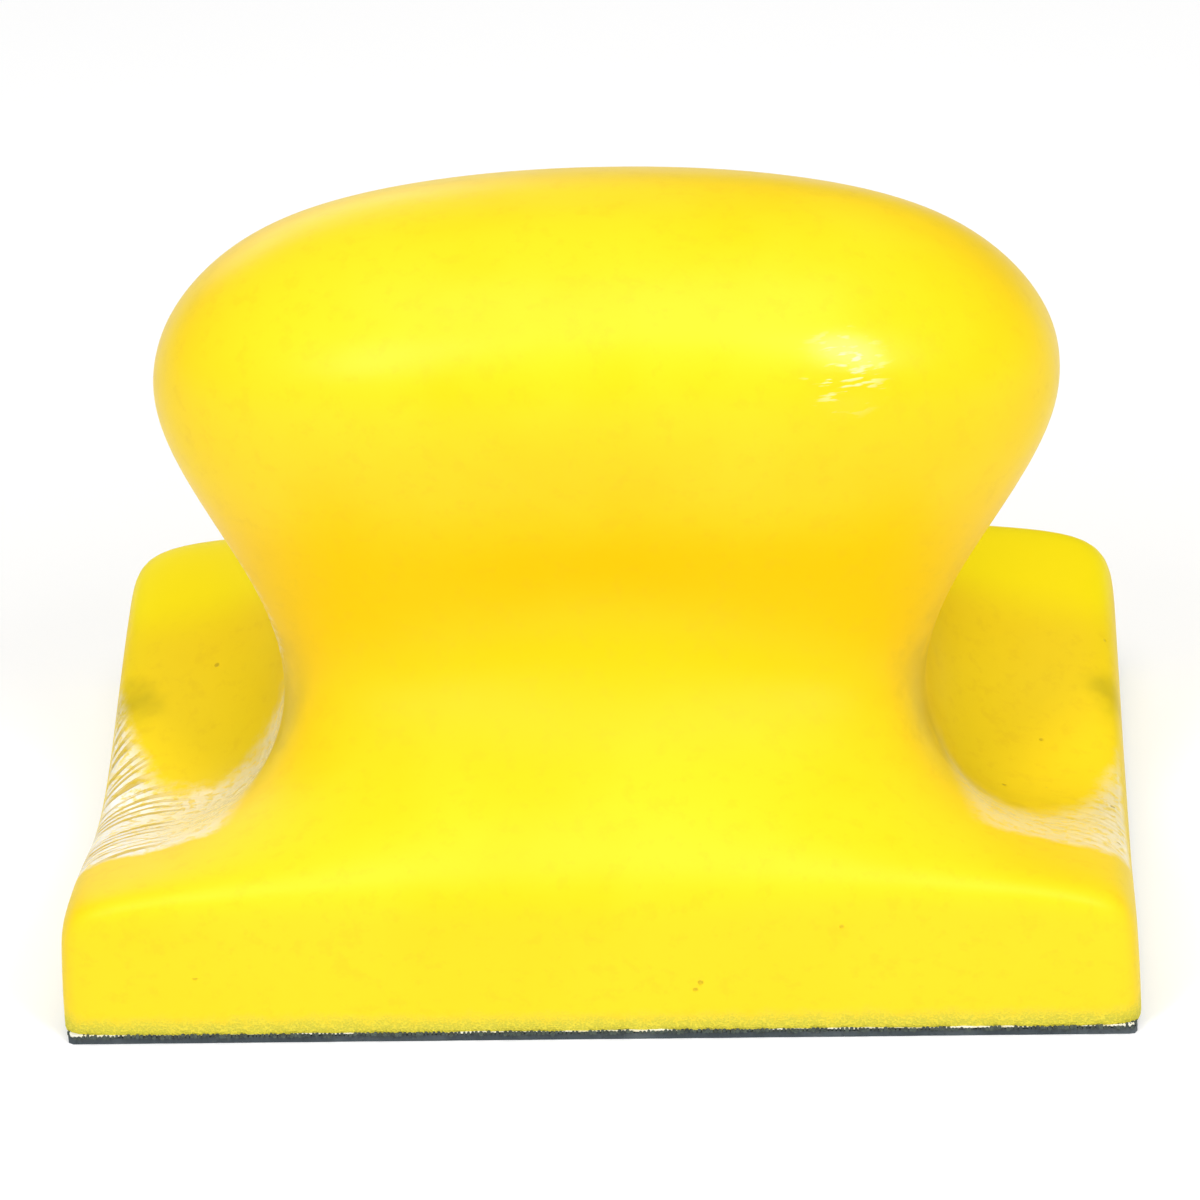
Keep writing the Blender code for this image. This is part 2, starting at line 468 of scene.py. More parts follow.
def worn_scoops(tree, sums, place, x, y, z):
    """The front half of each scoop, from a U-shaped rear limit to the ridge. The left end is weighted more,
    for its stronger sheen, part gloss and part painted reflection.
    """
    left = sums.less_than(x, 0.0)
    outward = sums.absolute(x)
    outer = sums.maximum(sums.subtract(outward, SCOOP_MIDDLE), 0.0)
    inner = sums.maximum(sums.subtract(SCOOP_MIDDLE, outward), 0.0)
    rear = sums.multiply_add(left, REAR_LIMIT_LEFT - REAR_LIMIT_RIGHT, REAR_LIMIT_RIGHT)
    rear = sums.multiply_add(sums.multiply(outer, outer), OUTER_CURVE, rear)
    rear = sums.multiply_add(sums.multiply(inner, inner), INNER_CURVE, rear)
    cloudy = noise(tree, place, 260.0, 4.0, 0.65)
    before = sums.subtract(rear, sums.multiply_add(cloudy, 9 * MM, y))
    limits = (
        sums.smooth(sums.multiply_add(y, 0.2, outward), 38 * MM, 42 * MM),
        sums.subtract(1.0, sums.smooth(outward, 62.9 * MM, 63.6 * MM)),
        sums.smooth(sums.multiply_add(cloudy, 4 * MM, y), -27.6 * MM, -25.2 * MM),
        sums.subtract(1.0, sums.smooth(z, 17 * MM, 24 * MM)),
        sums.multiply_add(left, 1.0 - RIGHT_END_WEAR_AND_SHEEN, RIGHT_END_WEAR_AND_SHEEN),
    )
    worn = sums.smooth(before, -6.0 * MM, 4.0 * MM)
    for limit in limits:
        worn = sums.multiply(worn, limit)
    return worn


print("scoop masks ready")

# %% [markdown]
# The grooves are one wave pattern. Its bands run across the scoop, and the pattern's own coordinates are
# bent near the rim, so the bands turn there as the pulled skin did. A second noise breaks them up.

# %% The mask for the pulled grooves
GROOVES_BEND_FROM = 54.5 * MM
GROOVE_BEND = 80.0
RIGHT_END_GROOVES = 0.4


def drag_grooves(tree, sums, x, y, z, worn):
    """Curved grooves that run in from the rim of each scoop, steep at the rim and flatter inward."""
    inward = sums.maximum(sums.subtract(sums.absolute(x), GROOVES_BEND_FROM), 0.0)
    curved = sums.multiply_add(sums.multiply(inward, inward), GROOVE_BEND, y)
    path = add_node(
        tree, "ShaderNodeCombineXYZ", X=sums.multiply(x, 0.22), Y=curved, Z=sums.multiply(z, 0.15)
    )
    waves = add_node(
        tree,
        "ShaderNodeTexWave",
        {"bands_direction": "Y"},
        Vector=path.outputs[0],
        Scale=140.0,
        Distortion=6.5,
        Detail=2.0,
        Detail_Scale=1.4,
    )
    breaks = sums.smooth(noise(tree, path.outputs[0], 330.0, 2.0), 0.40, 0.50)
    left = sums.less_than(x, 0.0)
    patch = sums.multiply(worn, sums.smooth(sums.absolute(x), 50 * MM, 56 * MM))
    patch = sums.multiply(patch, sums.multiply_add(left, 1.0 - RIGHT_END_GROOVES, RIGHT_END_GROOVES))
    lines = sums.smooth(waves.outputs["Fac"], 0.46, 0.64)
    return sums.multiply(sums.multiply(lines, breaks), patch)


print("groove mask ready")

# %% [markdown]
# Smaller marks come next. Beside each worn scoop and down the front of each neck flank lies a dull olive
# patch, which is painted shade: it stands in for shading and the sole's dark reflection. A strip on the left
# flank carries a fine pale speckle, a painted reflection of glints. A patch of short level scratches lies on
# the grip's right shoulder. The pinholes are the middles of a few cells of a cell pattern, fewer the higher
# they lie.

# %% Masks for the small marks
# painted shade: the middle of the dark patch beside each scoop
SHADED_RIM_SPOT = (62.0 * MM, 16.0 * MM, 11.5 * MM)
SCRATCHED_SPOT = (30.4 * MM, -20.8 * MM, 77.6 * MM)
SCRATCH_STRETCH = (260.0, 900.0, 1900.0)


def distance_to(tree, place, point):
    node = add_node(tree, "ShaderNodeVectorMath", {"operation": "DISTANCE"}, Vector=place)
    node.inputs[1].default_value = point
    return node.outputs["Value"]


def olive_shade_patches(tree, sums, place, x, y, z):
    """Painted shade: a dull dark patch on the outer rim of each scoop, and one down the front of each neck
    flank, standing in for shading and the sole's dark reflection.
    """
    cloudy = sums.multiply_add(noise(tree, place, 180.0, 3.0), 8 * MM, -4 * MM)
    spot = add_node(tree, "ShaderNodeCombineXYZ", X=sums.absolute(x), Y=y, Z=z)
    far = sums.add(distance_to(tree, spot.outputs[0], SHADED_RIM_SPOT), cloudy)
    rim = sums.subtract(1.0, sums.smooth(far, -1.5 * MM, 6.0 * MM))
    across = sums.multiply_add(cloudy, 1.4, y)
    upward = sums.multiply_add(cloudy, 3.0, z)
    flank = band(sums, across, -10 * MM, -8.5 * MM, 6 * MM)
    flank = sums.multiply(flank, band(sums, upward, 23 * MM, 27 * MM, 14 * MM))
    return sums.maximum(sums.multiply(rim, 0.50), sums.multiply(flank, 0.28))


def flank_glint_speckle(tree, sums, place, x, y, z):
    """Painted reflection: a fine pale speckle of glints on the left flank of the neck, where it faces the
    bright floor at a grazing angle.
    """
    strip = sums.multiply(band(sums, y, -6 * MM, 3 * MM, 4 * MM), band(sums, z, 36 * MM, 46 * MM, 9 * MM))
    strip = sums.multiply(strip, sums.less_than(x, 0.0))
    return sums.multiply(strip, sums.smooth(noise(tree, place, 1300.0, 2.0), 0.44, 0.58))


def short_scratches(tree, sums, place):
    """Short level scratches on the grip's front right shoulder, and the worn patch they lie in."""
    patch = sums.subtract(1.0, sums.smooth(distance_to(tree, place, SCRATCHED_SPOT), 2.0 * MM, 6.5 * MM))
    lines = noise(tree, stretched(tree, place, SCRATCH_STRETCH), 1.0, 2.0)
    return sums.multiply(sums.smooth(lines, 0.56, 0.66), patch), patch


def pinholes(tree, sums, place, z):
    """Small round holes, fewer with height."""
    holes = add_node(tree, "ShaderNodeTexVoronoi", Vector=place, Scale=240.0)
    chance = add_node(tree, "ShaderNodeSeparateColor", Color=holes.outputs["Color"])
    chance = sums.subtract(chance.outputs["Red"], sums.smooth(z, 1 * MM, 30 * MM))
    inside = sums.subtract(1.0, sums.smooth(holes.outputs["Distance"], 0.035, 0.10))
    return sums.multiply(inside, sums.greater_than(chance, 0.36))


print("mark masks ready")

# %% [markdown]
# The colour is painted in layers, each a mask, a strength and a shade, from the widest to the smallest. The
# yellow itself shifts with height as painted light and shade: a lighter lemon on the block, a deeper amber in
# the neck's shade. The upper rear pads get painted light, and the olive patches, the pale scoops and the
# flank speckle hold painted shade and painted reflection. Gloss and relief read the same masks, so that a
# groove is darker with painted shade, duller and lower in the same place. Heights are in millimetres.

# %% The yellow foam skin
SKIN_YELLOW = (0.93, 0.640, 0.008)
SKIN_PALE = (0.95, 0.680, 0.014)
# painted light and shade by height: the lemon lightens the block, the amber deepens the neck
LIT_LEMON = (0.95, 0.72, 0.012)
SHADED_AMBER = (0.93, 0.60, 0.0)
SKIN_DULL = (0.84, 0.56, 0.012)
# painted light: the upper rear pads are painted a lighter yellow
LIT_PAD_YELLOW = (0.99, 0.80, 0.004)
# painted shade: olive patches that stand in for shading and the sole's dark reflection
OLIVE_SHADE = (0.36, 0.28, 0.012)
# pale dragged skin with a painted reflection: the near-white of the worn scoops and the flank glints
PALE_SKIN_AND_SHEEN = (0.99, 0.95, 0.80)
GROOVE_SHADE = (0.66, 0.46, 0.012)
TRIMMED_FOAM = (0.74, 0.68, 0.075)
# painted shade in the open foam cells
FOAM_CELL_SHADE = (0.40, 0.42, 0.040)
PIT_SHADE = (0.60, 0.40, 0.010)


def skin_masks(tree, sums, place, x, y, z):
    """Every mask of the skin, by name."""
    trimmed = trimmed_edge(tree, sums, place, z)
    worn = worn_scoops(tree, sums, place, x, y, z)
    scratches, patch = short_scratches(tree, sums, place)
    foam = add_node(tree, "ShaderNodeTexVoronoi", Vector=place, Scale=3600.0)
    flecks = sums.smooth(noise(tree, place, 900.0, 4.0, 0.6), 0.36, 0.52)
    # painted reflection: pale glints speckled down the left flank
    flank_glints = sums.multiply(flank_glint_speckle(tree, sums, place, x, y, z), 0.75)
    # the pale bloom is paler dragged skin and a painted reflection of the bright floor and the back-left
    # light
    bloom_and_sheen = sums.multiply(worn, sums.multiply_add(flecks, 0.70, 0.25))
    return {
        "clouds": sums.smooth(noise(tree, place, 38.0, 3.0), 0.35, 0.65),
        "block": sums.subtract(1.0, sums.smooth(z, 10 * MM, 26 * MM)),
        "neck": band(sums, z, 38 * MM, 50 * MM, 12 * MM),
        "grip": sums.smooth(z, 44 * MM, 56 * MM),
        "mottle": sums.smooth(noise(tree, place, 420.0, 5.0, 0.65), 0.50, 0.68),
        # painted light on the upper rear pads
        "pads": sums.multiply(sums.smooth(y, 22 * MM, 32 * MM), band(sums, z, 17 * MM, 24 * MM, 4 * MM)),
        # painted shade beside the scoops and down the neck flanks
        "painted_shade_patches": olive_shade_patches(tree, sums, place, x, y, z),
        "worn": worn,
        "worn flecks": sums.multiply(worn, flecks),
        "bloom_and_sheen": sums.maximum(bloom_and_sheen, flank_glints),
        "grooves": drag_grooves(tree, sums, x, y, z, worn),
        "scratches": scratches,
        "scratched patch": patch,
        "trimmed": trimmed,
        "cells": sums.multiply(trimmed, sums.smooth(foam.outputs["Distance"], 0.75, 0.35)),
        "pinholes": pinholes(tree, sums, place, z),
    }


PAINT_LAYERS = (
    ("clouds", 1.0, SKIN_PALE),
    # painted light on the block and painted shade in the neck
    ("block", 0.6, LIT_LEMON),
    ("neck", 0.7, SHADED_AMBER),
    ("mottle", 0.28, SKIN_DULL),
    # painted light on the upper rear pads
    ("pads", 1.0, LIT_PAD_YELLOW),
    # painted shade: dark olive patches
    ("painted_shade_patches", 1.0, OLIVE_SHADE),
    # pale dragged skin and painted reflection in the worn scoops and on the left flank
    ("bloom_and_sheen", 1.0, PALE_SKIN_AND_SHEEN),
    ("grooves", 0.85, GROOVE_SHADE),
    ("scratches", 0.35, PALE_SKIN_AND_SHEEN),
    ("trimmed", 0.75, TRIMMED_FOAM),
    # painted shade in the open foam cells
    ("cells", 0.38, FOAM_CELL_SHADE),
    ("pinholes", 0.7, PIT_SHADE),
)
ROUGHNESS_CHANGES = (("worn", -0.16), ("grip", -0.13), ("grooves", 0.20), ("trimmed", 0.22))
RELIEF_MM = (
    ("worn flecks", 0.030),
    ("grooves", -0.12),
    ("scratches", 0.02),
    ("cells", -0.05),
    ("pinholes", -0.12),
)


def dress_skin(material):
    tree, shader, place = start_material(material)
    sums = Sums(tree)
    x, y, z = add_node(tree, "ShaderNodeSeparateXYZ", Vector=place).outputs
    masks = skin_masks(tree, sums, place, x, y, z)

    color = SKIN_YELLOW
    for name, strength, shade in PAINT_LAYERS:
        color = mix_colors(tree, sums.multiply(masks[name], strength), color, shade)
    tree.links.new(color, shader.inputs["Base Color"])

    rough = sums.multiply_add(noise(tree, place, 70.0, 4.0), 0.14, 0.40)
    for name, change in ROUGHNESS_CHANGES:
        rough = sums.multiply_add(masks[name], change, rough)
    tree.links.new(rough, shader.inputs["Roughness"])
    shader.inputs["IOR"].default_value = 1.42
    shader.inputs["Specular IOR Level"].default_value = 0.20

    bare = sums.subtract(1.0, sums.maximum(masks["grooves"], masks["trimmed"]))
    coat = sums.multiply(masks["worn flecks"], bare)
    coat = sums.maximum(coat, sums.multiply(masks["scratched patch"], 0.5))
    tree.links.new(coat, shader.inputs["Coat Weight"])
    shader.inputs["Coat Roughness"].default_value = 0.20
    shader.inputs["Coat IOR"].default_value = 1.5

    height = sums.multiply(noise(tree, place, 850.0, 2.0), 0.012)
    height = sums.multiply_add(noise(tree, place, 2600.0, 2.0), 0.006, height)
    for name, rise in RELIEF_MM:
        height = sums.multiply_add(masks[name], rise, height)
    bump(tree, shader, height)


dress_skin(foam_skin)
print("skin nodes:", len(foam_skin.node_tree.nodes))

# %% [markdown]
# ## The sole's outline
# The sole is a sheet cut to the block's underside. Its three layers, the glue, the woven backing and the
# rubber, all follow one outline: a rectangle whose corners are rounded by less than a millimetre. A
# Quadrilateral curve and a Fillet make it inside each tree.


# %% The outline and a sheet cut to it
CORNER_RADIUS = 0.7 * MM
CORNER_POINTS = 6
OUTLINE_INPUTS = (
    ("Length", "NodeSocketFloat", 0.127),
    ("Depth", "NodeSocketFloat", 0.085),
    ("Corner Radius", "NodeSocketFloat", CORNER_RADIUS),
)


def outline_curve(tree, given, spacing=None):
    """The rounded rectangle, with a point every so often if a spacing is given."""
    sides = add_node(
        tree,
        "GeometryNodeCurvePrimitiveQuadrilateral",
        Width=given["Length"],
        Height=given["Depth"],
    )
    rounded = add_node(
        tree,
        "GeometryNodeFilletCurve",
        {"mode": "POLY"},
        Curve=sides.outputs[0],
        Count=CORNER_POINTS,
        Radius=given["Corner Radius"],
    )
    if spacing is None:
        return rounded.outputs[0]
    even = add_node(
        tree, "GeometryNodeResampleCurve", {"mode": "LENGTH"}, Curve=rounded.outputs[0], Length=spacing
    )
    return even.outputs[0]


def sheet(tree, outline, low, thickness):
    """A closed sheet: the outline filled, lifted to its height and given a thickness."""
    filled = add_node(tree, "GeometryNodeFillCurve", {"mode": "NGONS"}, Curve=outline)
    lift = add_node(tree, "ShaderNodeCombineXYZ", Z=low)
    placed = add_node(
        tree, "GeometryNodeSetPosition", Geometry=filled.outputs[0], Offset=lift.outputs[0]
    )
    rise = add_node(tree, "ShaderNodeCombineXYZ", Z=thickness)
    raised = add_node(
        tree, "GeometryNodeExtrudeMesh", {"mode": "FACES"}, Mesh=placed.outputs[0], Offset=rise.outputs[0]
    )
    raised.inputs["Individual"].default_value = False
    under = add_node(tree, "GeometryNodeFlipFaces", Mesh=placed.outputs[0])
    both = tree.nodes.new("GeometryNodeJoinGeometry")
    for part in (raised, under):
        tree.links.new(part.outputs[0], both.inputs[0])
    closed = add_node(
        tree, "GeometryNodeMergeByDistance", Geometry=both.outputs[0], Distance=POINT_GAP
    )
    return closed.outputs[0]


def empty_mesh_object(name):
    obj = bpy.data.objects.new(name, bpy.data.meshes.new(name))
    bpy.context.scene.collection.objects.link(obj)
    return obj


print("outline length in mm:", round((rubber_high.x - rubber_low.x) / MM, 2))

# %% [markdown]
# ## The rubber sole
# The working face is a sheet of dark rubber about a millimetre thick. Its edge was cut after gluing, so it
# wanders by a fraction of a millimetre, and it stops a little short of the block's ends. The sheet is
# filled from the outline, and the wander is a little noise that only ever pulls the edge in.

# %% Make the rubber sole
EDGE_STEP = 0.7 * MM
EDGE_WANDER = 0.0036


def rubber_tree(material):
    tree, given, result = new_tree(
        "rubber sheet", OUTLINE_INPUTS + (("Thickness", "NodeSocketFloat", 1.0 * MM),)
    )
    sums = Sums(tree)
    outline = outline_curve(tree, given, EDGE_STEP)
    place = tree.nodes.new("GeometryNodeInputPosition").outputs[0]
    wander = sums.multiply(noise(tree, place, 160.0, 3.0), EDGE_WANDER)
    shrink = add_node(tree, "ShaderNodeVectorMath", {"operation": "SCALE"}, Vector=place)
    connect(tree, shrink.inputs["Scale"], sums.subtract(1.0, wander))
    cut = add_node(tree, "GeometryNodeSetPosition", Geometry=outline, Position=shrink.outputs["Vector"])
    solid = sheet(tree, cut.outputs[0], 0.0, given["Thickness"])
    end_tree(tree, solid, result["Geometry"], material)
    return tree


def shade_by_angle(obj, degrees=35.0):
    """Smooth shading, with every edge sharper than the angle kept crisp."""
    obj.data.shade_smooth()
    obj.data.set_sharp_from_angle(angle=math.radians(degrees))


RUBBER_EXTRA = 0.05 * MM
RUBBER_THICKNESS = rubber_high.z + RUBBER_EXTRA
RUBBER_END_INSET = 0.45 * MM
sole_rubber = bpy.data.materials.new("sole_rubber")
rubber = run_tree(
    empty_mesh_object("rubber_sole_sheet"),
    rubber_tree(sole_rubber),
    Length=rubber_high.x - rubber_low.x - 2 * RUBBER_END_INSET,
    Depth=rubber_high.y - rubber_low.y,
    Thickness=RUBBER_THICKNESS,
)
print("open edges on the rubber:", face_outwards(rubber))
shade_by_angle(rubber)
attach(rubber, "root")
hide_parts("rubber_sole")

# %% [markdown]
# The rubber is a dark blue-grey, matt and slightly grainy, with the pale dust that new rubber carries and
# tiny closed cells on its working face.


# %% The rubber's finish
RUBBER_DARK = (0.042, 0.058, 0.070)
RUBBER_WORN = (0.080, 0.100, 0.112)
RUBBER_CELL = (0.018, 0.024, 0.030)


def dress_rubber(material):
    tree, shader, place = start_material(material)
    sums = Sums(tree)
    clouds = noise(tree, place, 90.0, 5.0, 0.65)
    color = mix_colors(tree, sums.smooth(clouds, 0.42, 0.70), RUBBER_DARK, RUBBER_WORN)
    cells = add_node(tree, "ShaderNodeTexVoronoi", Vector=place, Scale=1300.0)
    cell = sums.subtract(1.0, sums.smooth(cells.outputs["Distance"], 0.10, 0.42))
    color = mix_colors(tree, sums.multiply(cell, 0.35), color, RUBBER_CELL)
    tree.links.new(color, shader.inputs["Base Color"])
    rough = sums.multiply_add(noise(tree, place, 300.0, 3.0), 0.20, 0.62)
    tree.links.new(rough, shader.inputs["Roughness"])
    shader.inputs["IOR"].default_value = 1.5
    height = sums.multiply(noise(tree, place, 1500.0, 3.0), 0.05)
    height = sums.multiply_add(cell, -0.05, height)
    bump(tree, shader, height)


dress_rubber(sole_rubber)
print("rubber nodes:", len(sole_rubber.node_tree.nodes))

# %% [markdown]
# ## The backing cloth
# The rubber sheet is sold on a coarse woven backing, and the glue goes on the cloth. Round the float only
# the cut ends of its threads show, a fine row of dark teeth between the rubber and the foam. That is a
# shape repeated hundreds of times along a path, so the tree places one short thread end at every step of
# the outline, each turned to face outwards and each a little different.

# %% Make the backing cloth
THREAD_PITCH = 0.50 * MM
THREAD_RADIUS = 0.23 * MM
THREAD_LENGTH = 0.9 * MM
THREAD_SIDES = 8
THREAD_SIZES = (0.72, 1.25)
SIDEWAYS_JITTER = 0.07 * MM
UPWARD_JITTER = (0.02 * MM, 0.22 * MM)


def cloth_tree(material):
    tree, given, result = new_tree(
        "cloth with thread ends",
        OUTLINE_INPUTS
        + (
            ("Height", "NodeSocketFloat", 1.0 * MM),
            ("Thickness", "NodeSocketFloat", 0.25 * MM),
            ("Thread Pitch", "NodeSocketFloat", THREAD_PITCH),
            ("Thread Radius", "NodeSocketFloat", THREAD_RADIUS),
            ("Thread Length", "NodeSocketFloat", THREAD_LENGTH),
        ),
    )
    sums = Sums(tree)
    solid = sheet(tree, outline_curve(tree, given), given["Height"], given["Thickness"])

    outline = outline_curve(tree, given, given["Thread Pitch"])
    tangent = tree.nodes.new("GeometryNodeInputTangent").outputs[0]
    outward = add_node(
        tree, "ShaderNodeVectorMath", {"operation": "CROSS_PRODUCT"}, Vector=tangent
    )
    outward.inputs[1].default_value = (0.0, 0.0, 1.0)
    facing = add_node(
        tree, "FunctionNodeAlignRotationToVector", {"axis": "Z"}, Vector=outward.outputs["Vector"]
    )
    thread = add_node(
        tree,
        "GeometryNodeMeshCylinder",
        {"fill_type": "NGON"},
        Vertices=THREAD_SIDES,
        Radius=given["Thread Radius"],
        Depth=given["Thread Length"],
    )
    least, most = THREAD_SIZES
    size = add_node(
        tree, "FunctionNodeRandomValue", {"data_type": "FLOAT"}, Min=least, Max=most, Seed=11
    )
    ends = add_node(
        tree,
        "GeometryNodeInstanceOnPoints",
        Points=outline,
        Instance=thread.outputs["Mesh"],
        Rotation=facing.outputs["Rotation"],
        Scale=size.outputs[1],
    )
    jitter = add_node(tree, "FunctionNodeRandomValue", {"data_type": "FLOAT_VECTOR"}, Seed=23)
    lowest, highest = UPWARD_JITTER
    jitter.inputs["Min"].default_value = (-SIDEWAYS_JITTER, -SIDEWAYS_JITTER, lowest)
    jitter.inputs["Max"].default_value = (SIDEWAYS_JITTER, SIDEWAYS_JITTER, highest)
    up = add_node(
        tree, "ShaderNodeCombineXYZ", Z=sums.multiply_add(given["Thickness"], 0.5, given["Height"])
    )
    lifted = add_node(
        tree, "ShaderNodeVectorMath", {"operation": "ADD"}, Vector=jitter.outputs[0]
    )
    tree.links.new(up.outputs[0], lifted.inputs[1])
    moved = add_node(
        tree,
        "GeometryNodeSetPosition",
        Geometry=ends.outputs[0],
        Offset=lifted.outputs["Vector"],
    )
    joined = tree.nodes.new("GeometryNodeJoinGeometry")
    tree.links.new(moved.outputs[0], joined.inputs[0])
    tree.links.new(solid, joined.inputs[0])
    end_tree(tree, joined.outputs[0], result["Geometry"], material)
    return tree


CLOTH_END_INSET = 0.95 * MM
CLOTH_SIDE_INSET = 0.20 * MM
backing_cloth = bpy.data.materials.new("backing_cloth")
cloth = run_tree(
    empty_mesh_object("woven_backing"),
    cloth_tree(backing_cloth),
    Length=rubber_high.x - rubber_low.x - 2 * CLOTH_END_INSET,
    Depth=rubber_high.y - rubber_low.y - 2 * CLOTH_SIDE_INSET,
    Height=RUBBER_THICKNESS,
    Thickness=CLOTH_TOP - RUBBER_THICKNESS,
)
print("open edges on the cloth:", face_outwards(cloth))
shade_by_angle(cloth, 50.0)
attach(cloth, "root")
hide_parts("sole_backing_cloth")
print("faces in the cloth:", len(cloth.data.polygons))

# %% [markdown]
# The threads are dark green-black cotton, dyed unevenly and a little furry, so the finish is very rough and
# changes from thread to thread.

# %% The cloth's finish
THREAD_DARK = (0.016, 0.028, 0.026)
THREAD_PALE = (0.060, 0.085, 0.072)


def dress_cloth(material):
    tree, shader, place = start_material(material)
    sums = Sums(tree)
    along = noise(tree, place, 900.0, 2.0)
    color = mix_colors(tree, sums.smooth(along, 0.35, 0.65), THREAD_DARK, THREAD_PALE)
    tree.links.new(color, shader.inputs["Base Color"])
    rough = sums.multiply_add(along, 0.15, 0.80)
    tree.links.new(rough, shader.inputs["Roughness"])
    shader.inputs["Sheen Weight"].default_value = 0.15
    shader.inputs["Sheen Roughness"].default_value = 0.6
    twist = add_node(
        tree,
        "ShaderNodeTexWave",
        {"bands_direction": "DIAGONAL"},
        Vector=place,
        Scale=1100.0,
        Distortion=3.0,
        Detail=2.0,
    )
    bump(tree, shader, sums.multiply(twist.outputs["Fac"], 0.04))


dress_cloth(backing_cloth)
print("cloth nodes:", len(backing_cloth.node_tree.nodes))

# %% [markdown]
# ## The glue
# The sole is stuck on with a pale contact glue. Under the block it is an even film. Where the brush left
# too much, it was pressed out past the edge and dried as a ragged bead, in stretches with bare edge between
# them. The tree runs a round bead along the outline and lets noise decide how thick it is at each point,
# down to almost nothing.

# %% Make the glue
BEAD_RADIUS = 0.19 * MM
BEAD_STEP = 0.22 * MM
BEAD_SIDES = 8


def glue_tree(material):
    tree, given, result = new_tree(
        "glue film with a squeezed bead",
        OUTLINE_INPUTS
        + (
            ("Height", "NodeSocketFloat", 1.0 * MM),
            ("Thickness", "NodeSocketFloat", 0.2 * MM),
            ("Bead Radius", "NodeSocketFloat", BEAD_RADIUS),
        ),
    )
    sums = Sums(tree)
    film = sheet(tree, outline_curve(tree, given), given["Height"], given["Thickness"])

    path = outline_curve(tree, given, BEAD_STEP)
    place = tree.nodes.new("GeometryNodeInputPosition").outputs[0]
    stretches = sums.smooth(noise(tree, place, 85.0, 2.0), 0.44, 0.60)
    lumps = noise(tree, place, 900.0, 3.0)
    weight = sums.multiply(stretches, sums.multiply_add(lumps, 1.1, 0.25))
    radius = sums.multiply(given["Bead Radius"], sums.maximum(weight, 0.08))
    wobble = sums.multiply_add(noise(tree, place, 520.0, 2.0), 0.30 * MM, -0.12 * MM)
    level = sums.add(given["Height"], wobble)
    lift = add_node(tree, "ShaderNodeCombineXYZ", Z=level)
    raised = add_node(tree, "GeometryNodeSetPosition", Geometry=path, Offset=lift.outputs[0])
    thick = add_node(tree, "GeometryNodeSetCurveRadius", Curve=raised.outputs[0], Radius=radius)
    ring = add_node(tree, "GeometryNodeCurvePrimitiveCircle", Resolution=BEAD_SIDES, Radius=1.0)
    bead = add_node(
        tree, "GeometryNodeCurveToMesh", Curve=thick.outputs[0], Profile_Curve=ring.outputs[0]
    )
    if "Scale" in bead.inputs:  # a node that has this input takes the bead's radius through it
        connect(tree, bead.inputs["Scale"], tree.nodes.new("GeometryNodeInputRadius").outputs[0])
    joined = tree.nodes.new("GeometryNodeJoinGeometry")
    tree.links.new(bead.outputs[0], joined.inputs[0])
    tree.links.new(film, joined.inputs[0])
    end_tree(tree, joined.outputs[0], result["Geometry"], material)
    return tree


GLUE_END_INSET = 0.95 * MM
GLUE_SIDE_INSET = 0.02 * MM
GLUE_THICKNESS = 0.12 * MM
dried_glue = bpy.data.materials.new("dried_adhesive")
glue = run_tree(
    empty_mesh_object("dried_glue"),
    glue_tree(dried_glue),
    Length=rubber_high.x - rubber_low.x - 2 * GLUE_END_INSET,
    Depth=rubber_high.y - rubber_low.y - 2 * GLUE_SIDE_INSET,
    Height=CLOTH_TOP,
    Thickness=GLUE_THICKNESS,
)
print("open edges on the glue:", face_outwards(glue))
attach(glue, "root")
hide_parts("adhesive_film")
print("faces in the glue:", len(glue.data.polygons))

# %% [markdown]
# Dried contact glue is off-white where it is thick and yellower where it is thin, with a soft shine. A little
# light goes into it, so it has some subsurface scattering.

# %% The glue's finish
GLUE_PALE = (0.86, 0.84, 0.72)
GLUE_YELLOWED = (0.66, 0.60, 0.36)


def dress_glue(material):
    tree, shader, place = start_material(material)
    sums = Sums(tree)
    clouds = noise(tree, place, 400.0, 3.0)
    color = mix_colors(tree, sums.smooth(clouds, 0.35, 0.68), GLUE_PALE, GLUE_YELLOWED)
    tree.links.new(color, shader.inputs["Base Color"])
    rough = sums.multiply_add(clouds, 0.3, 0.30)
    tree.links.new(rough, shader.inputs["Roughness"])
    shader.inputs["Subsurface Weight"].default_value = 0.10
    shader.inputs["Subsurface Radius"].default_value = (0.0006, 0.0005, 0.0003)
    shader.inputs["Subsurface Scale"].default_value = 1.0
    bump(tree, shader, sums.multiply(noise(tree, place, 1800.0, 2.0), 0.03))


dress_glue(dried_glue)
print("glue nodes:", len(dried_glue.node_tree.nodes))

# %% [markdown]
# ## The stand and the light
# The float stands on a plain pale floor that glows a little of its own, so that it stays white. The light
# is soft: a dim even surround, a tall soft box on each side of the camera, a large one overhead for the
# surfaces that face up, and a low one behind on the left that catches the worn slopes of the scoops.

# %% Floor and light
FLOOR_HALF = 6.0
FLOOR_DROP = 0.02 * MM
FLOOR_GLOW = 0.36
FLOOR_GREY = ((0.65, 0.65, 0.65), (0.68, 0.68, 0.68))
SURROUND_STRENGTH = 0.13
WHITE = (1.0, 1.0, 1.0, 1.0)
bpy.context.scene.view_settings.view_transform = "Standard"


def flat_square(name, half, height):
    mesh = bpy.data.meshes.new(name)
    corners = [(-half, -half, height), (half, -half, height), (half, half, height), (-half, half, height)]
    mesh.from_pydata(corners, [], [(0, 1, 2, 3)])
    obj = bpy.data.objects.new(name, mesh)
    bpy.context.scene.collection.objects.link(obj)
    return obj


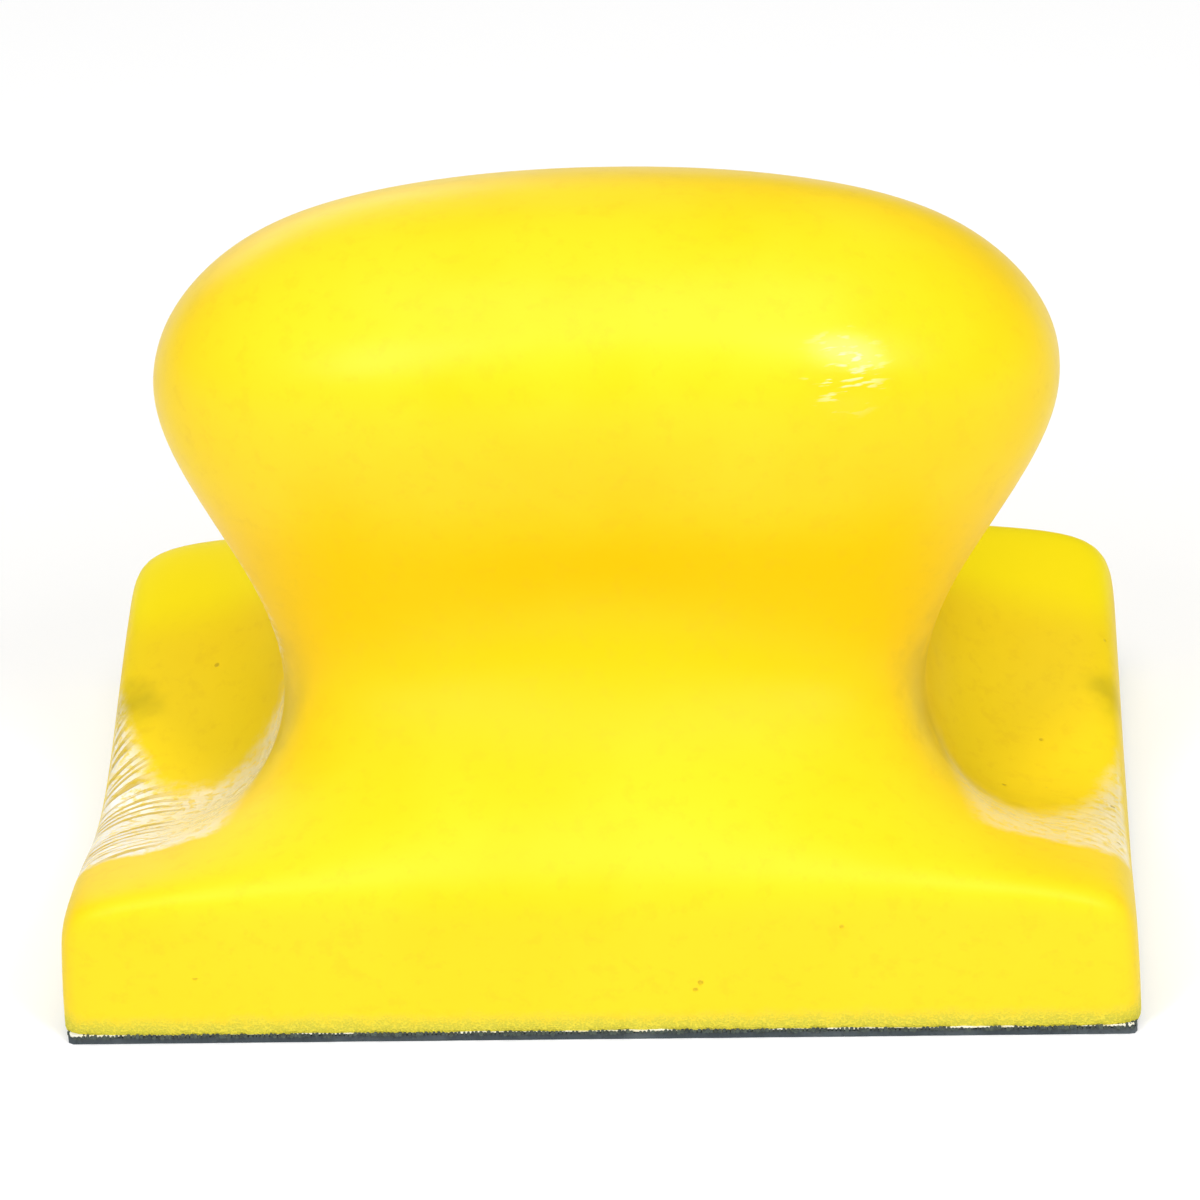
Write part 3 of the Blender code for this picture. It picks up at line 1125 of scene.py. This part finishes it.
floor = flat_square("floor", FLOOR_HALF, -FLOOR_DROP)
floor_paint = bpy.data.materials.new("pale_floor")
tree, shader, place = start_material(floor_paint)
color = mix_colors(tree, noise(tree, place, 3.0, 2.0), *FLOOR_GREY)
tree.links.new(color, shader.inputs["Base Color"])
shader.inputs["Roughness"].default_value = 0.9
shader.inputs["Emission Color"].default_value = WHITE
shader.inputs["Emission Strength"].default_value = FLOOR_GLOW
floor.data.materials.append(floor_paint)

world = bpy.data.worlds.new("bright_surround")
world.use_nodes = True
surround = world.node_tree.nodes["Background"]
surround.inputs["Color"].default_value = WHITE
surround.inputs["Strength"].default_value = SURROUND_STRENGTH
bpy.context.scene.world = world


def direction(azimuth, elevation):
    """The direction away from the float, in degrees. Azimuth 0 is in front, 90 is to the right."""
    turn, rise = math.radians(azimuth), math.radians(elevation)
    return Vector((math.sin(turn) * math.cos(rise), -math.cos(turn) * math.cos(rise), math.sin(rise)))


def soft_box(name, azimuth, elevation, distance, size, radiance):
    """An area light, (width, height) across, that faces the middle of the float."""
    lamp = bpy.data.lights.new(name, "AREA")
    lamp.shape = "RECTANGLE"
    lamp.size, lamp.size_y = size
    lamp.energy = radiance * math.pi * size[0] * size[1]
    obj = bpy.data.objects.new(name, lamp)
    away = direction(azimuth, elevation)
    obj.location = away * distance + FLOAT_MIDDLE
    obj.rotation_mode = "QUATERNION"
    obj.rotation_quaternion = away.to_track_quat("Z", "Y")
    bpy.context.scene.collection.objects.link(obj)


FLOAT_MIDDLE = Vector((0.0, 0.0, 0.045))
SOFT_BOXES = (
    ("left_soft_box", -38.0, 40.0, 1.0, (0.24, 0.60), 9.2),
    ("right_soft_box", 42.0, 40.0, 1.0, (0.24, 0.60), 10.2),
    ("overhead_soft_box", 0.0, 80.0, 1.2, (1.0, 1.0), 2.9),
    ("back_left_soft_box", -160.0, 12.0, 1.2, (0.60, 0.40), 2.0),
)
for settings in SOFT_BOXES:
    soft_box(*settings)
print("soft boxes:", len(SOFT_BOXES))

# %% [markdown]
# ## The camera
# A long lens looks down at the front of the float from about thirty degrees, a little from the right, and
# is rolled by a couple of degrees.

# %% The camera
CAMERA_AZIMUTH = 3.50
CAMERA_ELEVATION = 30.16
CAMERA_ROLL = -2.57
CAMERA_DISTANCE = 0.7226
CAMERA_LENS = 178.9
SENSOR_WIDTH = 36.0
AIM = Vector((-0.00002, -0.00435, 0.03790))

camera_data = bpy.data.cameras.new("camera")
camera_data.lens = CAMERA_LENS
camera_data.sensor_width = SENSOR_WIDTH
camera_data.clip_start = 0.05
camera = bpy.data.objects.new("camera", camera_data)
bpy.context.scene.collection.objects.link(camera)
back = direction(CAMERA_AZIMUTH, CAMERA_ELEVATION)
roll = Quaternion((0, 0, 1), math.radians(CAMERA_ROLL))
camera.location = AIM + back * CAMERA_DISTANCE
camera.rotation_mode = "QUATERNION"
camera.rotation_quaternion = back.to_track_quat("Z", "Y") @ roll
bpy.context.scene.camera = camera
print("camera at", [round(v, 3) for v in camera.location])
